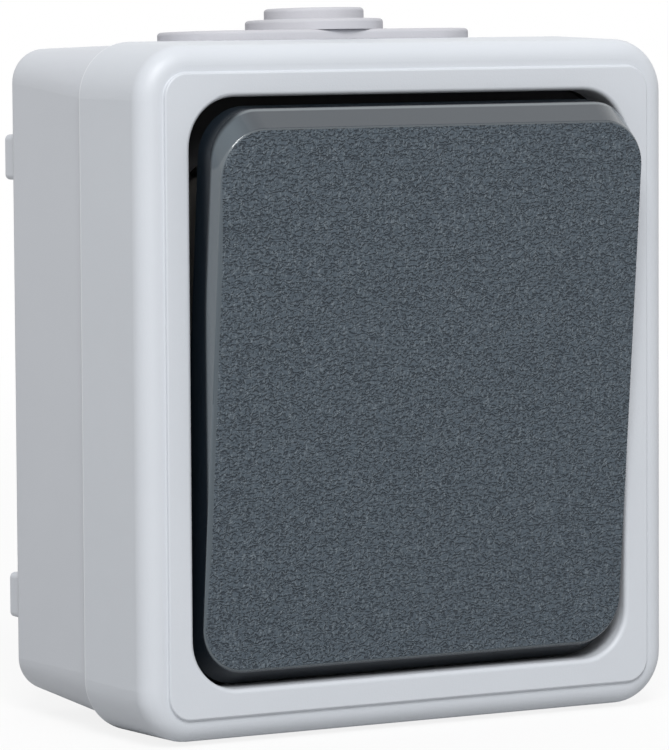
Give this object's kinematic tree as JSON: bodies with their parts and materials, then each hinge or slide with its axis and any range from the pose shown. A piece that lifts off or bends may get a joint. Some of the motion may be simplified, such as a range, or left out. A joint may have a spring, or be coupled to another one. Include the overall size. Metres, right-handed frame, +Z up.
{
  "type": "surface mounted light switch",
  "caption": "Surface mounted damp-proof light switch: tapered wall box, framed cover, large textured rocker, soft cable gland on top and a rocking contact insert inside.",
  "frame": {"origin": "middle of the two wall screw holes, on the plane where the feet meet the wall", "axes": "+X to the right seen from the front, +Y into the wall, +Z up; the rocker faces -Y"},
  "size_m": [0.066, 0.0404, 0.0779],
  "materials": {
    "housing_plastic": "light grey moulded plastic, satin",
    "gland_rubber": "soft lilac-grey rubber, matt",
    "seal_rubber": "black rubber, matt",
    "rocker_plastic": "dark slate-grey plastic, leather-grained face with glossy sides",
    "insert_plastic": "pale moulded thermoset, matt",
    "zinc_steel": "zinc plated sheet and screws",
    "contact_brass": "bare stamped brass"
  },
  "bodies": {
    "housing": {"base_box": "housing_plastic", "cover_frame": "housing_plastic", "cable_gland": "gland_rubber", "cover_seal": "seal_rubber", "membrane": "seal_rubber", "support_plate": "zinc_steel", "insert_body": "insert_plastic", "insert_lid": "insert_plastic", "throw_contact_upper": "contact_brass", "throw_contact_lower": "contact_brass", "common_terminal": "contact_brass", "clamp_upper": "contact_brass", "clamp_lower": "contact_brass", "clamp_common": "contact_brass", "terminal_screw_upper": "zinc_steel", "terminal_screw_lower": "zinc_steel", "terminal_screw_common": "zinc_steel", "insert_screw_left": "zinc_steel", "insert_screw_right": "zinc_steel", "cover_screw_upper": "zinc_steel", "cover_screw_lower": "zinc_steel"},
    "rocker_unit": {"rocker": "rocker_plastic", "rocker_carrier": "insert_plastic", "plunger": "insert_plastic", "plunger_spring": "zinc_steel"},
    "bridge": {"contact_bridge": "contact_brass"}
  },
  "joints": [
    {"name": "rocker_tilt", "type": "hinge", "parent": "housing", "child": "rocker_unit", "pos_m": [0, -0.0304, 0], "axis": [1, 0, 0], "range_deg": [-10.8, 0]},
    {"name": "bridge_rock", "type": "hinge", "parent": "housing", "child": "bridge", "pos_m": [0, -0.0218, 0], "axis": [1, 0, 0], "range_deg": [0, 10.8]}
  ],
  "couplings": [
    {"joint": "bridge_rock", "follows": "rocker_tilt", "ratio": -1}
  ]
}
